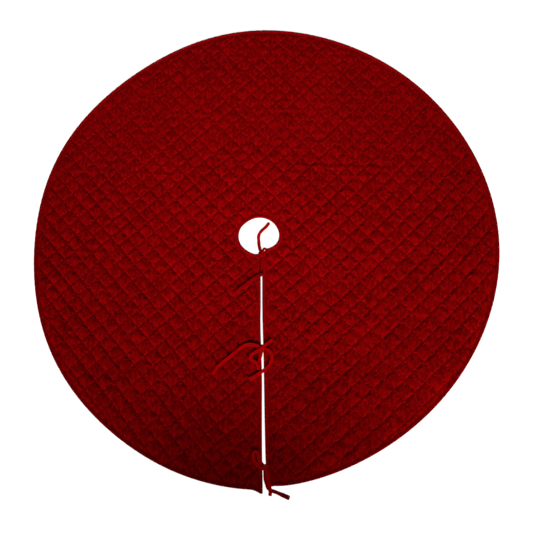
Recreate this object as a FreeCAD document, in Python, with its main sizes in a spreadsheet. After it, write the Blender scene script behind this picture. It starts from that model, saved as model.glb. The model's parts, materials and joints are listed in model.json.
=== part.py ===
"""Quilted round tree skirt with a centre hole, a slit and three pairs of ties, lying flat.

Frame: millimetres, +Z up, origin on the floor at the centre of the trunk hole. The slit runs
from the hole to the rim along -Y. The skirt is cut along the X axis into a front half, which
holds the slit and the ties, and a back half, which folds up and over the front half.
"""

import FreeCAD, Part
import math
import os

import Sketcher
from FreeCAD import Placement, Rotation, Vector

# Driving dimensions: alias, value in millimetres or degrees, meaning.
DIMENSIONS = [
    ("rim_radius", 610.0, "outer radius, over the rim binding"),
    ("hole_radius", 51.5, "radius of the trunk hole, inside its binding"),
    ("slit_left", 2.8, "x of the slit's left edge"),
    ("slit_right", 9.6, "x of the slit's right edge"),
    ("fold_gap", 0.3, "from the fold line to the cloth of either half"),
    ("backing", 0.8, "thickness of the cotton backing"),
    ("batting", 5.0, "thickness of the batting"),
    ("face", 1.2, "thickness of the velvet face with its pile"),
    ("tape", 0.8, "thickness of the folded bias tape"),
    ("binding_width", 8.5, "how far the tape reaches in from an edge"),
    ("seam_room", 0.2, "room between the layers and the tape round them"),
    ("seam_step", 1.3, "from the tape's end to the full thickness"),
    ("thread", 0.4, "thickness of a sewn thread"),
    ("thread_width", 0.8, "width of a line of stitches"),
    ("topstitch_inset", 6.8, "from an edge to the binding's line of stitches"),
    ("rising_pitch", 34.8, "distance between the rising quilting lines"),
    ("rising_angle", 40.4, "their direction, degrees from +X"),
    ("rising_shift", 20.4, "first rising line, from the hole's centre"),
    ("falling_pitch", 32.8, "distance between the falling quilting lines"),
    ("falling_angle", 131.9, "their direction, degrees from +X"),
    ("falling_shift", 0.0, "first falling line, from the hole's centre"),
    ("tie_width", 7.0, "width of a tie's flat tape"),
    ("tie_thickness", 2.4, "thickness of a tie's flat tape"),
    ("tie_end", 1.1, "thickness of a tie where it is sewn on"),
    ("tie_end_length", 8.0, "length of tie sewn to the binding"),
    ("tie_room", 0.3, "room under a tie that lies on stitches"),
    ("crossing_room", 0.4, "room between two ties that cross"),
    ("floor_room", 0.5, "room between the floor and a tie that hangs off the cloth"),
    ("loop_tape", 2.0, "thickness of a looped tie that stands on edge"),
    ("tack_length", 5.0, "length of a bar tack"),
    ("tack_inset", 6.5, "from the slit's edge to a bar tack"),
    ("knot_radius", 6.5, "radius of a tied knot"),
    ("knot_round", 1.6, "rounding of a knot's top edge"),
    ("knot_height", 6.2, "height of a tied knot"),
    ("knot_x", 8.0, "x of the knots, on the slit's middle"),
    ("hole_knot_y", -53.0, "y of the knot at the hole"),
    ("middle_knot_y", -289.0, "y of the middle knot"),
    ("bottom_knot_y", -566.0, "y of the knot at the rim"),
    ("turn_knot_x", 6.2, "x of the small knot at the hole tie's turn"),
    ("turn_knot_y", -107.0, "y of that knot"),
    ("turn_knot_radius", 4.6, "radius of that knot"),
]

doc = FreeCAD.newDocument("TreeSkirt")
sheet = doc.addObject("Spreadsheet::Sheet", "Dims")
for row, (alias, value, meaning) in enumerate(DIMENSIONS, start=1):
    sheet.set(f"A{row}", meaning)
    sheet.set(f"B{row}", str(value))
    sheet.setAlias(f"B{row}", alias)
doc.recompute()


def dim(alias):
    """A driving dimension, read from the sheet."""
    return float(sheet.get(alias))


def worth(expression):
    """The value of an expression over the sheet's aliases, such as "Dims.tape + 2"."""
    return float(sheet.evalExpression(expression))


# Heights over the floor, as expressions over the sheet.
BACKING_TOP = "Dims.backing"
BATTING_TOP = "Dims.backing + Dims.batting"
FACE_TOP = "Dims.backing + Dims.batting + Dims.face"
BINDING_TOP = "Dims.batting + 2 * Dims.tape"
FULL_INSET = "Dims.binding_width + 0.3"
STEP_INSET = "Dims.binding_width + Dims.seam_step"
SEAM_INSET = "Dims.tape + Dims.seam_room"

SIDES = {"front_left": -1, "front_right": 1}
SUB_PARTS = []


def keep(label, thing):
    """Names a finished sub-part and puts it on the list that is written out."""
    thing.Label = label
    SUB_PARTS.append(thing)
    return thing


def origin_plane(body):
    """The body's own XY plane."""
    return next(f for f in body.Origin.OriginFeatures if f.Role == "XY_Plane")


def new_sketch(body, height):
    """A sketch on the body's XY plane, raised to a height given as an expression."""
    sketch = body.newObject("Sketcher::SketchObject", "Outline")
    sketch.AttachmentSupport = (origin_plane(body), [""])
    sketch.MapMode = "FlatFace"
    sketch.setExpression(".AttachmentOffset.Base.z", height)
    return sketch


def bind(sketch, index, name, expression):
    """Names a sketch's constraint and ties it to the sheet."""
    sketch.renameConstraint(index, name)
    sketch.setExpression(f"Constraints.{name}", expression)


def join_loop(sketch, joins):
    """Closes an outline of two arcs about the origin and two lines.

    For each edge in turn, joins says which of its points (1 or 2) meets which edge's point.
    """
    add = sketch.addConstraint
    for edge, (end, following, start) in enumerate(joins):
        add(Sketcher.Constraint("Coincident", edge, end, following, start))
    for edge in (0, 2):
        add(Sketcher.Constraint("Coincident", edge, 3, -1, 1))


def bind_radii(sketch, outer, inner):
    """Ties the two arcs of an outline to the sheet."""
    for edge, name, expression in ((0, "outer_radius", outer), (2, "inner_radius", inner)):
        index = sketch.addConstraint(Sketcher.Constraint("Radius", edge, worth(expression)))
        bind(sketch, index, name, expression)


def bind_place(sketch, kind, line, name, expression):
    """Ties a line's distance from the origin, along x or y, to the sheet."""
    value = worth(expression)
    index = sketch.addConstraint(Sketcher.Constraint(kind, -1, 1, line, 1, value))
    bind(sketch, index, name, expression)


def arc(radius, start, end):
    """An arc about the origin between two points."""
    angles = [math.atan2(point[1], point[0]) for point in (start, end)]
    if angles[1] < angles[0]:
        angles[1] += 2 * math.pi
    circle = Part.Circle(Vector(0, 0, 0), Vector(0, 0, 1), radius)
    return Part.ArcOfCircle(circle, *angles)


def segment(start, end):
    """A straight edge between two points."""
    return Part.LineSegment(Vector(*start, 0), Vector(*end, 0))


def on_circle_y(radius, y, side):
    """The point of a circle at a given y, left (-1) or right (1) of the middle."""
    return (side * math.sqrt(radius**2 - y**2), y)


def on_circle_x(radius, x):
    """The front point of a circle at a given x."""
    return (x, -math.sqrt(radius**2 - x**2))


def back_sketch(body, height, outer, inner):
    """Half a ring behind the fold line."""
    sketch = new_sketch(body, height)
    gap, far, near = dim("fold_gap"), worth(outer), worth(inner)
    corners = [on_circle_y(far, gap, 1), on_circle_y(far, gap, -1)]
    inside = [on_circle_y(near, gap, 1), on_circle_y(near, gap, -1)]
    sketch.addGeometry(arc(far, corners[0], corners[1]))
    sketch.addGeometry(segment(corners[1], inside[1]))
    sketch.addGeometry(arc(near, inside[0], inside[1]))
    sketch.addGeometry(segment(inside[0], corners[0]))
    join_loop(sketch, [(2, 1, 1), (2, 2, 2), (1, 3, 1), (2, 0, 1)])
    sketch.addConstraint(Sketcher.Constraint("Horizontal", 1))
    sketch.addConstraint(Sketcher.Constraint("Horizontal", 3))
    bind_radii(sketch, outer, inner)
    bind_place(sketch, "DistanceY", 1, "left_gap", "Dims.fold_gap")
    bind_place(sketch, "DistanceY", 3, "right_gap", "Dims.fold_gap")
    return sketch


def quarter_sketch(body, height, outer, inner, side, edge):
    """A quarter of a ring in front of the fold line, up to an edge along the slit."""
    sketch = new_sketch(body, height)
    gap, far, near, x = dim("fold_gap"), worth(outer), worth(inner), worth(edge)
    ends = [on_circle_y(far, -gap, side), on_circle_x(far, x)]
    inside = [on_circle_y(near, -gap, side), on_circle_x(near, x)]
    first, last = (0, 1) if side < 0 else (1, 0)
    sketch.addGeometry(arc(far, ends[first], ends[last]))
    sketch.addGeometry(segment(ends[1], inside[1]))
    sketch.addGeometry(arc(near, inside[first], inside[last]))
    sketch.addGeometry(segment(inside[0], ends[0]))
    at_slit, at_fold = (2, 1) if side < 0 else (1, 2)
    join_loop(sketch, [(at_slit, 1, 1), (2, 2, at_slit), (at_fold, 3, 1), (2, 0, at_fold)])
    sketch.addConstraint(Sketcher.Constraint("Vertical", 1))
    sketch.addConstraint(Sketcher.Constraint("Horizontal", 3))
    bind_radii(sketch, outer, inner)
    bind_place(sketch, "DistanceY", 3, "fold", "-Dims.fold_gap")
    bind_place(sketch, "DistanceX", 1, "slit_edge", edge)
    return sketch


def strip_sketch(body, height, outer, inner, left, right):
    """A strip along the slit, from the hole's arc to the rim's arc."""
    sketch = new_sketch(body, height)
    far, near = worth(outer), worth(inner)
    sides = [worth(left), worth(right)]
    sketch.addGeometry(arc(far, on_circle_x(far, sides[0]), on_circle_x(far, sides[1])))
    sketch.addGeometry(segment(on_circle_x(far, sides[1]), on_circle_x(near, sides[1])))
    sketch.addGeometry(arc(near, on_circle_x(near, sides[0]), on_circle_x(near, sides[1])))
    sketch.addGeometry(segment(on_circle_x(near, sides[0]), on_circle_x(far, sides[0])))
    join_loop(sketch, [(2, 1, 1), (2, 2, 2), (1, 3, 1), (2, 0, 1)])
    sketch.addConstraint(Sketcher.Constraint("Vertical", 1))
    sketch.addConstraint(Sketcher.Constraint("Vertical", 3))
    bind_radii(sketch, outer, inner)
    bind_place(sketch, "DistanceX", 3, "left_edge", left)
    bind_place(sketch, "DistanceX", 1, "right_edge", right)
    return sketch


def extrude(body, kind, sketch, length):
    """A Pad upwards, or a Pocket cut upwards, from a sketch."""
    feature = body.newObject(kind, kind.split("::")[1])
    feature.Profile = sketch
    feature.setExpression("Length", length)
    if kind.endswith("Pocket"):
        feature.Reversed = True
    sketch.Visibility = False
    doc.recompute()
    return feature


def pad(body, sketch, length):
    """A Pad, upwards from its sketch."""
    return extrude(body, "PartDesign::Pad", sketch, length)


def pocket(body, sketch, length):
    """A Pocket, upwards from its sketch, which has to take something away."""
    before = body.Shape.Volume
    feature = extrude(body, "PartDesign::Pocket", sketch, length)
    if not body.Shape.Volume < before - 1:
        raise RuntimeError(f"{body.Name}: a pocket cut nothing")
    return feature


def slit_edge(side, inset):
    """The slit's left or right edge, moved into the cloth by an inset."""
    if side < 0:
        return f"Dims.slit_left - ({inset})"
    return f"Dims.slit_right + ({inset})"


def region(body, height, place, inset):
    """The outline of one panel, moved in from the rim, the hole and the slit by an inset."""
    outer = f"Dims.rim_radius - ({inset})"
    inner = f"Dims.hole_radius + ({inset})"
    if place == "back":
        return back_sketch(body, height, outer, inner)
    side = SIDES[place]
    return quarter_sketch(body, height, outer, inner, side, slit_edge(side, inset))


# The three quilted layers: full thickness inside, thinner where the binding closes on them.
def sheet_layer(place, name, base, band_base, thickness):
    """The face or the backing: a sheet with a stepped hem that the binding holds."""
    body = doc.addObject("PartDesign::Body", f"{place}_{name}")
    pad(body, region(body, base, place, FULL_INSET), thickness)
    pad(body, region(body, band_base, place, SEAM_INSET), thickness)
    pocket(body, region(body, band_base, place, STEP_INSET), thickness)
    return keep(f"{place}_{name}", body)


def batting_layer(place):
    """The soft filling between the face and the backing."""
    body = doc.addObject("PartDesign::Body", f"{place}_batting")
    pad(body, region(body, BACKING_TOP, place, STEP_INSET), "Dims.batting")
    hem = "Dims.batting - Dims.backing - Dims.face"
    pad(body, region(body, "2 * Dims.backing", place, SEAM_INSET), hem)
    return keep(f"{place}_batting", body)


for place in ("front_left", "front_right", "back"):
    sheet_layer(place, "backing", "0 mm", BACKING_TOP, "Dims.backing")
    batting_layer(place)
    sheet_layer(place, "face", BATTING_TOP, f"{BATTING_TOP} - Dims.face", "Dims.face")


# Bias binding: a folded tape round the rim, round the hole and along both edges of the slit.
def ring_binding(label, place, outer, inner, open_outer, open_inner):
    """A U-shaped tape round part of the rim or the hole, open towards the cloth."""
    body = doc.addObject("PartDesign::Body", label)

    def outline(height, far, near):
        if place == "back":
            return back_sketch(body, height, far, near)
        edge = slit_edge(SIDES[place], "Dims.binding_width + 0.1")
        return quarter_sketch(body, height, far, near, SIDES[place], edge)

    pad(body, outline("0 mm", outer, inner), BINDING_TOP)
    pocket(body, outline("Dims.tape", open_outer, open_inner), "Dims.batting")
    return keep(label, body)


for place in ("front_left", "front_right", "back"):
    ring_binding(
        f"{place}_rim_binding",
        place,
        "Dims.rim_radius",
        "Dims.rim_radius - Dims.binding_width",
        "Dims.rim_radius - Dims.tape",
        "Dims.rim_radius - Dims.binding_width - 1",
    )
    ring_binding(
        f"{place}_hole_binding",
        place,
        "Dims.hole_radius + Dims.binding_width",
        "Dims.hole_radius",
        "Dims.hole_radius + Dims.binding_width + 1",
        "Dims.hole_radius + Dims.tape",
    )

for name, side in (("left", -1), ("right", 1)):
    body = doc.addObject("PartDesign::Body", f"slit_binding_{name}")
    edges = [slit_edge(side, "0"), slit_edge(side, "Dims.binding_width")]
    opening = [slit_edge(side, "Dims.tape"), slit_edge(side, "Dims.binding_width + 1")]
    if side < 0:
        edges.reverse()
        opening.reverse()
    outline = strip_sketch(body, "0 mm", "Dims.rim_radius", "Dims.hole_radius", *edges)
    pad(body, outline, BINDING_TOP)
    far, near = "Dims.rim_radius - Dims.tape", "Dims.hole_radius + Dims.tape"
    pocket(body, strip_sketch(body, "Dims.tape", far, near, *opening), "Dims.batting")
    keep(f"slit_binding_{name}", body)


def solid_part(label, shape):
    """A sub-part whose shape is made with Part's own functions."""
    feature = doc.addObject("Part::Feature", label)
    feature.Shape = shape
    feature.Placement = Placement(Vector(0, 0, 0), Rotation())
    return keep(label, feature)


# Topstitching: one line of thread along each length of binding.
def stitched_ring(place, radius):
    """A thread along an arc of binding, as a thin flat band."""
    half = dim("thread_width") / 2
    low = worth(BINDING_TOP)
    box = [Vector(radius - half, 0, low), Vector(radius + half, 0, low)]
    box += [point + Vector(0, 0, dim("thread")) for point in reversed(box)]
    profile = Part.Face(Part.makePolygon(box + box[:1]))
    margin = math.degrees(math.asin(2 * dim("fold_gap") / radius))
    inset = dim("binding_width") + 0.5
    left = math.degrees(math.asin((inset - dim("slit_left")) / radius))
    right = math.degrees(math.asin((inset + dim("slit_right")) / radius))
    start, end = {
        "back": (margin, 180 - margin),
        "front_left": (180 + margin, 270 - left),
        "front_right": (270 + right, 360 - margin),
    }[place]
    profile.rotate(Vector(), Vector(0, 0, 1), start)
    return profile.revolve(Vector(), Vector(0, 0, 1), end - start)


def stitched_slit(side):
    """A thread along one edge of the slit."""
    inset = dim("topstitch_inset")
    x = dim("slit_left") - inset if side < 0 else dim("slit_right") + inset
    ends = [-dim("hole_radius") - 2, -dim("rim_radius") + 2]
    low = Vector(x - dim("thread_width") / 2, ends[1], worth(BINDING_TOP))
    return Part.makeBox(dim("thread_width"), ends[0] - ends[1], dim("thread"), low)


TOPSTITCH_RADII = (
    dim("rim_radius") - dim("topstitch_inset"),
    dim("hole_radius") + dim("topstitch_inset"),
)
back_threads = [stitched_ring("back", radius) for radius in TOPSTITCH_RADII]
solid_part("back_binding_topstitch", Part.Compound(back_threads))
front_threads = [stitched_ring(place, radius) for place in SIDES for radius in TOPSTITCH_RADII]
front_threads += [stitched_slit(side) for side in SIDES.values()]
solid_part("front_binding_topstitch", Part.Compound(front_threads))


# Quilting thread: two families of parallel lines over the face, one laid over the other.
def crossings(radius, distance):
    """Where a line at a distance from the centre meets a circle, along the line."""
    if abs(distance) >= radius:
        return []
    reach = math.sqrt(radius**2 - distance**2)
    return [-reach, reach]


def line_runs(direction, normal, distance, place):
    """The stretches of one quilting line that lie on a panel."""
    far = dim("rim_radius") - dim("binding_width") - 2.0
    near = dim("hole_radius") + dim("binding_width") + 2.0
    marks = crossings(far, distance) + crossings(near, distance)
    edges = [(1, 3.0), (1, -3.0)]
    if place != "back":
        edge = dim("slit_left") if SIDES[place] < 0 else dim("slit_right")
        edges.append((0, edge + SIDES[place] * (dim("binding_width") + 2.0)))
    for axis, value in edges:
        marks.append((value - normal[axis] * distance) / direction[axis])
    marks.sort()
    runs = []
    for start, end in zip(marks, marks[1:]):
        middle = normal * distance + direction * ((start + end) / 2)
        inside = near < middle.Length < far
        if place == "back":
            inside = inside and middle.y > 3.0
        else:
            inside = inside and middle.y < -3.0
            inside = inside and SIDES[place] * (middle.x - edges[2][1]) > 0
        if inside and end - start > 6.0:
            runs.append((start, end))
    return runs


def quilting(family, level, places):
    """The threads of one family of quilting lines, on the panels named."""
    angle = math.radians(dim(f"{family}_angle"))
    direction = Vector(math.cos(angle), math.sin(angle), 0)
    normal = Vector(direction.y, -direction.x, 0)
    pitch = dim(f"{family}_pitch")
    count = int(dim("rim_radius") // pitch) + 1
    threads = []
    for number in range(-count, count + 1):
        distance = dim(f"{family}_shift") + number * pitch
        for place in places:
            for start, end in line_runs(direction, normal, distance, place):
                box = Part.makeBox(end - start, dim("thread_width"), dim("thread"))
                box.translate(Vector(start, -dim("thread_width") / 2, level))
                box.rotate(Vector(), Vector(0, 0, 1), math.degrees(angle))
                box.translate(normal * distance)
                threads.append(box)
    return Part.Compound(threads)


face_top = worth(FACE_TOP)
levels = {"rising": face_top, "falling": face_top + dim("thread")}
for family, level in levels.items():
    for half, places in (("front", tuple(SIDES)), ("back", ("back",))):
        solid_part(f"{half}_{family}_quilting_thread", quilting(family, level, places))


# The ties: narrow flat tapes, sewn to the slit's binding and tied in three knots.
on_binding = worth(BINDING_TOP) + 0.05
knot_base = on_binding + dim("thread") + dim("tie_end")
LOW = knot_base + dim("thread") + dim("tie_room") + dim("tie_thickness") / 2
HIGH = LOW + dim("tie_thickness") + dim("crossing_room")
FLOOR = dim("floor_room") + dim("tie_thickness") / 2
KNOTS = {
    name: Vector(dim("knot_x"), dim(f"{name}_knot_y"), knot_base)
    for name in ("hole", "middle", "bottom")
}


def tied_knot(name, place, radius):
    """A knot as a round button with a rounded top edge."""
    core = doc.addObject("Part::Cylinder", f"{name}_knot_core")
    core.setExpression("Radius", radius)
    core.setExpression("Height", "Dims.knot_height")
    core.Placement = Placement(place, Rotation())
    rounded = doc.addObject("Part::Fillet", f"{name}_knot_rounded")
    rounded.Base = core
    doc.recompute()
    edges = core.Shape.Edges
    top = max(range(len(edges)), key=lambda index: edges[index].CenterOfMass.z) + 1
    rounded.Edges = [(top, dim("knot_round"), dim("knot_round"))]
    keep(f"{name}_knot", rounded)


for name, place in KNOTS.items():
    tied_knot(name, place, "Dims.knot_radius")
turn_place = Vector(dim("turn_knot_x"), dim("turn_knot_y"), on_binding)
tied_knot("hole_turn", turn_place, "Dims.turn_knot_radius")

for name, place in KNOTS.items():
    for hand, side in (("left", -1), ("right", 1)):
        end = doc.addObject("Part::Box", f"{name}_{hand}_end")
        end.setExpression("Length", "Dims.tie_end_length")
        end.setExpression("Width", "Dims.tie_width")
        end.setExpression("Height", "Dims.tie_end")
        edge = dim("slit_left") - dim("tie_end_length") if side < 0 else dim("slit_right")
        corner = Vector(edge, place.y - dim("tie_width") / 2, knot_base - dim("tie_end"))
        end.Placement = Placement(corner, Rotation())
        keep(f"{name}_tie_{hand}_end", end)

tacks = []
for place in KNOTS.values():
    for x in (dim("slit_left") - dim("tack_inset"), dim("slit_right") + dim("tack_inset")):
        corner = Vector(x - dim("thread_width") / 2, place.y - dim("tack_length") / 2, knot_base)
        tacks.append(Part.makeBox(dim("thread_width"), dim("tack_length"), dim("thread"), corner))
solid_part("tie_bar_tacks", Part.Compound(tacks))


def tape_path(label, points):
    """Straight runs joined by tangent arcs, each as large as its two runs allow."""
    edges = []
    radii = []
    here = points[0]
    for before, corner, after in zip(points, points[1:], points[2:]):
        arriving = corner - before
        leaving = after - corner
        turn = arriving.getAngle(leaving)
        reach = 0.45 * min(arriving.Length, leaving.Length)
        radii.append(reach / math.tan(turn / 2))
        start = corner - arriving.normalize() * reach
        end = corner + leaving.normalize() * reach
        inward = (start + end) * 0.5 - corner
        centre = corner + inward.normalize() * (radii[-1] / math.cos(turn / 2))
        to_corner = corner - centre
        middle = centre + to_corner.normalize() * radii[-1]
        edges.append(Part.LineSegment(here, start).toShape())
        edges.append(Part.Arc(start, middle, end).toShape())
        here = end
    edges.append(Part.LineSegment(here, points[-1]).toShape())
    print(label, "arc radii in mm:", " ".join(f"{radius:.1f}" for radius in radii))
    return Part.Wire(edges)


def tape(label, route, width, thickness):
    """A flat tape that follows a route of points, its width kept level."""
    points = [Vector(*point) for point in route]
    path = tape_path(label, points)
    along = (points[1] - points[0]).normalize()
    across = Vector(0, 0, 1).cross(along).normalize()
    upright = along.cross(across)
    corners = [(-1, -1), (1, -1), (1, 1), (-1, 1), (-1, -1)]
    profile = Part.makePolygon([
        points[0] + across * (side * width / 2) + upright * (rise * thickness / 2)
        for side, rise in corners
    ])
    sweep = Part.BRepOffsetAPI.MakePipeShell(path)
    sweep.setBiNormalMode(Vector(0, 0, 1))
    sweep.add(profile)
    sweep.build()
    sweep.makeSolid()
    shape = sweep.shape()
    if shape.Volume < 0:
        shape.reverse()
    expected = width * thickness * path.Length
    print(label, f"length {path.Length:.1f} mm, volume is {shape.Volume / expected:.4f} of expected")
    return solid_part(label, shape)


# Routes of the ties, as points (x, y, z). The first point is where a tie leaves its knot.
STEEP = LOW + 0.7
ROUTES = {
    "hole_tie_upper_tail": [
        (6.5, -46.1, STEEP), (4.3, -37.5, 7.4), (1.8, -27.0, 4.0), (1.4, -15.5, FLOOR),
        (0.4, -4.5, FLOOR), (4.0, 6.0, FLOOR), (13.0, 15.5, FLOOR), (22.5, 23.0, FLOOR),
        (28.0, 33.0, FLOOR),
    ],
    "hole_tie_side_tail": [
        (1.4, -108.6, LOW), (-8.0, -113.2, LOW), (-18.0, -120.2, LOW), (-29.5, -127.6, LOW),
        (-41.5, -137.2, LOW), (-52.5, -145.2, LOW), (-63.0, -155.0, LOW),
    ],
    "middle_tie_long_tail": [
        (1.1, -287.0, LOW), (-11.0, -283.0, LOW), (-24.0, -280.0, LOW), (-40.0, -284.5, LOW),
        (-56.0, -296.0, LOW), (-77.0, -313.5, LOW), (-96.0, -327.0, LOW), (-108.0, -338.0, LOW),
        (-116.0, -353.0, LOW),
    ],
    "middle_tie_left_loop": [
        (3.0, -292.5, HIGH), (-4.5, -298.0, HIGH), (-13.5, -302.0, HIGH), (-21.0, -308.0, HIGH),
        (-22.5, -316.5, HIGH), (-15.5, -322.5, HIGH), (-7.5, -326.5, HIGH), (-3.5, -334.0, HIGH),
        (-2.5, -343.0, HIGH),
    ],
    "middle_tie_short_tail": [
        (6.8, -294.6, LOW), (4.6, -303.5, LOW), (1.4, -313.0, LOW), (-0.6, -323.0, LOW),
        (-3.4, -332.5, LOW), (-3.9, -339.5, LOW),
    ],
    "middle_tie_round_tail": [
        (14.2, -292.5, LOW), (23.5, -295.5, LOW), (30.2, -305.0, LOW), (30.8, -318.0, LOW),
        (24.5, -332.0, LOW), (12.5, -344.0, LOW), (-1.0, -352.0, LOW), (-13.0, -358.5, LOW),
        (-25.5, -366.5, LOW),
    ],
    "bottom_tie_loop": [
        (3.6, -570.0, LOW), (-5.5, -565.0, LOW), (-13.8, -554.5, LOW), (-19.0, -543.5, LOW),
        (-18.2, -533.0, LOW), (-9.2, -530.6, LOW), (-5.8, -539.5, LOW), (-4.4, -549.0, LOW),
        (-0.2, -556.5, LOW), (4.6, -561.6, LOW),
    ],
    "bottom_tie_long_tail": [
        (7.4, -573.1, LOW), (7.2, -586.0, LOW), (9.5, -599.0, LOW), (14.5, -611.0, LOW - 0.4),
        (22.0, -618.8, 5.2), (33.0, -622.5, FLOOR + 0.2), (47.0, -628.5, FLOOR), (65.5, -636.0, FLOOR),
    ],
    "bottom_tie_short_tail": [
        (10.6, -573.1, HIGH), (13.0, -584.0, HIGH), (15.2, -596.0, HIGH), (19.0, -607.0, HIGH),
        (21.2, -616.0, HIGH - 1.6), (21.0, -623.0, HIGH - 3.6), (20.0, -629.5, HIGH - 6.4),
    ],
}
for label, route in ROUTES.items():
    tape(label, route, dim("tie_width"), dim("tie_thickness"))

# Folded loops: a stub beside the middle knot, a bight down in the slit and a ring at the hole.
double = 2 * dim("tie_thickness")
FOLDED = LOW + dim("tie_thickness") / 2
stub = [(13.7, -284.2, FOLDED), (21.0, -278.2, FOLDED), (31.5, -271.5, FOLDED)]
tape("middle_tie_stub_loop", stub, dim("tie_width"), double)

on_edge = dim("tie_width") - 1.0
IN_SLIT = worth(BINDING_TOP) - on_edge / 2
AT_KNOT = knot_base - on_edge / 2
bight = [
    (4.5, -55.0, AT_KNOT), (4.6, -69.0, IN_SLIT), (4.4, -87.0, IN_SLIT), (4.6, -104.0, IN_SLIT),
    (7.8, -104.2, IN_SLIT), (8.0, -87.0, IN_SLIT), (7.8, -69.0, IN_SLIT), (7.9, -55.0, AT_KNOT),
]
tape("hole_tie_down_loop", bight, dim("loop_tape"), on_edge)
ring = [
    (12.8, -49.6, FOLDED), (12.6, -41.5, FOLDED), (16.8, -36.6, FOLDED),
    (22.2, -40.4, FOLDED), (20.6, -46.8, FOLDED), (13.6, -51.6, FOLDED),
]
tape("hole_tie_eyelet", ring, dim("loop_tape"), double)

doc.recompute()
for thing in doc.Objects:
    if "Invalid" in thing.State or "Error" in thing.State:
        raise RuntimeError(f"{thing.Name} failed: {thing.State}")
labels = [thing.Label for thing in SUB_PARTS]
if len(set(labels)) != len(labels):
    raise RuntimeError("two sub-parts share a name")
for thing in SUB_PARTS:
    if thing.Shape.isNull() or not thing.Shape.isValid() or thing.Shape.Volume <= 0:
        raise RuntimeError(f"{thing.Label} has no valid shape")

os.makedirs("parts", exist_ok=True)
for thing in SUB_PARTS:
    thing.Shape.exportStep(os.path.join("parts", thing.Label + ".step"))
    box = thing.Shape.BoundBox
    print(f"{thing.Label}: {len(thing.Shape.Solids)} solids, {thing.Shape.Volume / 1000:.2f} cm3, "
          f"z {box.ZMin:.2f} to {box.ZMax:.2f}")
print(len(SUB_PARTS), "sub-parts")
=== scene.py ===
"""Looks of a round quilted velvet tree skirt: quilted cloth, bindings, stitches and ties.

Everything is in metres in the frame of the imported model: +Z up, the origin on the floor at the
centre of the trunk hole, and the slit along -Y.
"""

import json
import math

import bpy
import numpy as np
from mathutils import Matrix, Vector


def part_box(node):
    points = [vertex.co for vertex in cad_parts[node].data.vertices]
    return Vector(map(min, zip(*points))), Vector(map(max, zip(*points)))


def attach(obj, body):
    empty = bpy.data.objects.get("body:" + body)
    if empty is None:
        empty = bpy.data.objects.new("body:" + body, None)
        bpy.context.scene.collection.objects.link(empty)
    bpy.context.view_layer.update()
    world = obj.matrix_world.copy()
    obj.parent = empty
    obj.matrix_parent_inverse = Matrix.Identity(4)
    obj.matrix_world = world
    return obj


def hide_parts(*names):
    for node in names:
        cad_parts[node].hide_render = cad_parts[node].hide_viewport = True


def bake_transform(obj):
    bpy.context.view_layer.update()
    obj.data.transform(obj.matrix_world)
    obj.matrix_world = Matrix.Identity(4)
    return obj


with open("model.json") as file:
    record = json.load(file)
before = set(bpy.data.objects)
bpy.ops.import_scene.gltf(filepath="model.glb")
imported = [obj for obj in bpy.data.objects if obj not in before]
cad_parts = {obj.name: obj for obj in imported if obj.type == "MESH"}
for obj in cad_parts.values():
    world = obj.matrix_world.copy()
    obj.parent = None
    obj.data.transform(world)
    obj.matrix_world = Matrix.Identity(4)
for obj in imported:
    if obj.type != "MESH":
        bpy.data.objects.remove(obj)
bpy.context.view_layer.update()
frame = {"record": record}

MM = 0.001
scene = bpy.context.scene
rng = np.random.default_rng(48)

FRONT = "front_half"

# ---- camera
CAMERA_PLACE = Vector((0.0790, -0.3010, 1.0905))
CAMERA_TARGET = Vector((0.0205, -0.0840, 0.0))
CAMERA_ROLL = math.radians(-0.95)
CAMERA_LENS = 29.04


def make_camera():
    """A camera almost straight above, a little in front of the hole, tipped to look back."""
    forward = (CAMERA_TARGET - CAMERA_PLACE).normalized()
    level = forward.cross(Vector((0, 1, 0))).normalized()
    above = level.cross(forward)
    right = level * math.cos(CAMERA_ROLL) + above * math.sin(CAMERA_ROLL)
    upward = right.cross(forward)
    turn = Matrix((right, upward, -forward)).transposed()
    data = bpy.data.cameras.new("camera")
    data.sensor_width = 36
    data.lens = CAMERA_LENS
    camera = bpy.data.objects.new("camera", data)
    camera.matrix_world = Matrix.Translation(CAMERA_PLACE) @ turn.to_4x4()
    scene.collection.objects.link(camera)
    scene.camera = camera


make_camera()


# ---- mesh helpers
def add_mesh(name, points, faces, material):
    """A smooth-shaded object; faces are arrays of corner numbers, one for each corner count."""
    sizes = np.concatenate([np.full(len(block), block.shape[1]) for block in faces])
    corners = np.concatenate([block.ravel() for block in faces])
    mesh = bpy.data.meshes.new(name)
    mesh.vertices.add(len(points))
    mesh.vertices.foreach_set("co", np.asarray(points, np.float32).ravel())
    mesh.loops.add(len(corners))
    mesh.loops.foreach_set("vertex_index", corners.astype(np.int32))
    mesh.polygons.add(len(sizes))
    mesh.polygons.foreach_set("loop_start", (np.cumsum(sizes) - sizes).astype(np.int32))
    mesh.polygons.foreach_set("use_smooth", np.ones(len(sizes), bool))
    mesh.update(calc_edges=True)
    mesh.materials.append(material)
    thing = bpy.data.objects.new(f"{name}_soft", mesh)
    scene.collection.objects.link(thing)
    return thing


def grid_quads(side):
    """Corner numbers of every quad in a square grid of points."""
    number = np.arange(side * side).reshape(side, side)
    return np.stack([number[:-1, :-1], number[1:, :-1], number[1:, 1:], number[:-1, 1:]], -1)


def ring_quads(number):
    """Quads between the rings of a tube, from its grid of point numbers."""
    following = np.roll(number, -1, 1)
    return np.stack([number[:-1], number[1:], following[1:], following[:-1]], -1).reshape(-1, 4)


def run_length(line):
    """Distance along a line of points, from its first point to each."""
    return np.append(0, np.cumsum(np.linalg.norm(np.diff(line, axis=0), axis=1)))


def smooth(t):
    """0 to 1 with a gentle start and end."""
    t = np.clip(t, 0, 1)
    return t * t * (3 - 2 * t)


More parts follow.
